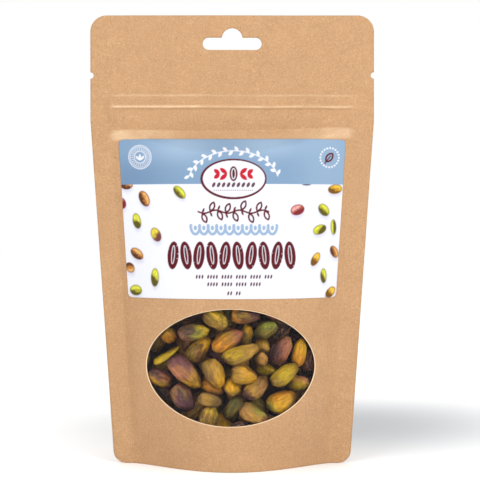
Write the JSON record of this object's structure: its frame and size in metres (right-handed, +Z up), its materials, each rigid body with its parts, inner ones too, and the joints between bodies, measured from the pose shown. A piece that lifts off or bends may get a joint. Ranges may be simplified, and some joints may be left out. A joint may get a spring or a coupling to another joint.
{
  "type": "stand-up pouch of pistachio kernels",
  "caption": "Kraft stand-up pouch with oval window, label, press-to-close zip and hang slot, filled with shelled pistachio kernels.",
  "frame": {"origin": "middle of the footprint, on the surface the pouch stands on", "axes": "+Z up; the front panel with the window faces -Y; +X is to the right seen from the front"},
  "size_m": [0.13, 0.0546, 0.2055],
  "materials": {
    "kraft_paper": "matt brown kraft paper laminate with fine fibres",
    "clear_film": "clear glossy film",
    "label_paper": null,
    "zip_plastic": "translucent white polyethylene",
    "pistachio_kernel": "waxy kernel with green, yellow, orange and purple skin"
  },
  "bodies": {
    "root": {"back_panel": "kraft_paper", "bottom_gusset": "kraft_paper", "front_label": "label_paper", "front_panel": "kraft_paper", "kernel_amber_hidden": "pistachio_kernel", "kernel_amber_large": "pistachio_kernel", "kernel_brown_mid": "pistachio_kernel", "kernel_brown_right": "pistachio_kernel", "kernel_bulk": "pistachio_kernel", "kernel_dusk_left_low": "pistachio_kernel", "kernel_dusk_left_top": "pistachio_kernel", "kernel_dusk_right": "pistachio_kernel", "kernel_dusk_top": "pistachio_kernel", "kernel_golden_end": "pistachio_kernel", "kernel_green_round": "pistachio_kernel", "kernel_half_low": "pistachio_kernel", "kernel_leaf_green": "pistachio_kernel", "kernel_lime": "pistachio_kernel", "kernel_lime_small": "pistachio_kernel", "kernel_maroon_top": "pistachio_kernel", "kernel_mauve_patch": "pistachio_kernel", "kernel_moss_top": "pistachio_kernel", "kernel_notched": "pistachio_kernel", "kernel_olive_left_low": "pistachio_kernel", "kernel_olive_oval": "pistachio_kernel", "kernel_olive_round": "pistachio_kernel", "kernel_orange_slim": "pistachio_kernel", "kernel_pink_tip": "pistachio_kernel", "kernel_plum_bottom": "pistachio_kernel", "kernel_plum_left": "pistachio_kernel", "kernel_plum_low": "pistachio_kernel", "kernel_ridged": "pistachio_kernel", "kernel_rosy": "pistachio_kernel", "kernel_split_sliver": "pistachio_kernel", "kernel_spotted": "pistachio_kernel", "kernel_straw_small": "pistachio_kernel", "kernel_straw_tip": "pistachio_kernel", "kernel_striped_small": "pistachio_kernel", "kernel_tan_bottom": "pistachio_kernel", "kernel_tan_left_top": "pistachio_kernel", "kernel_tan_lower": "pistachio_kernel", "kernel_tan_pit": "pistachio_kernel", "kernel_tan_right": "pistachio_kernel", "kernel_tangerine": "pistachio_kernel", "kernel_two_tone": "pistachio_kernel", "kernel_umber_top": "pistachio_kernel", "kernel_wedge_low": "pistachio_kernel", "window_film": "clear_film", "zip_lip_strip": "zip_plastic", "zip_rib_strip": "zip_plastic"}
  },
  "joints": []
}
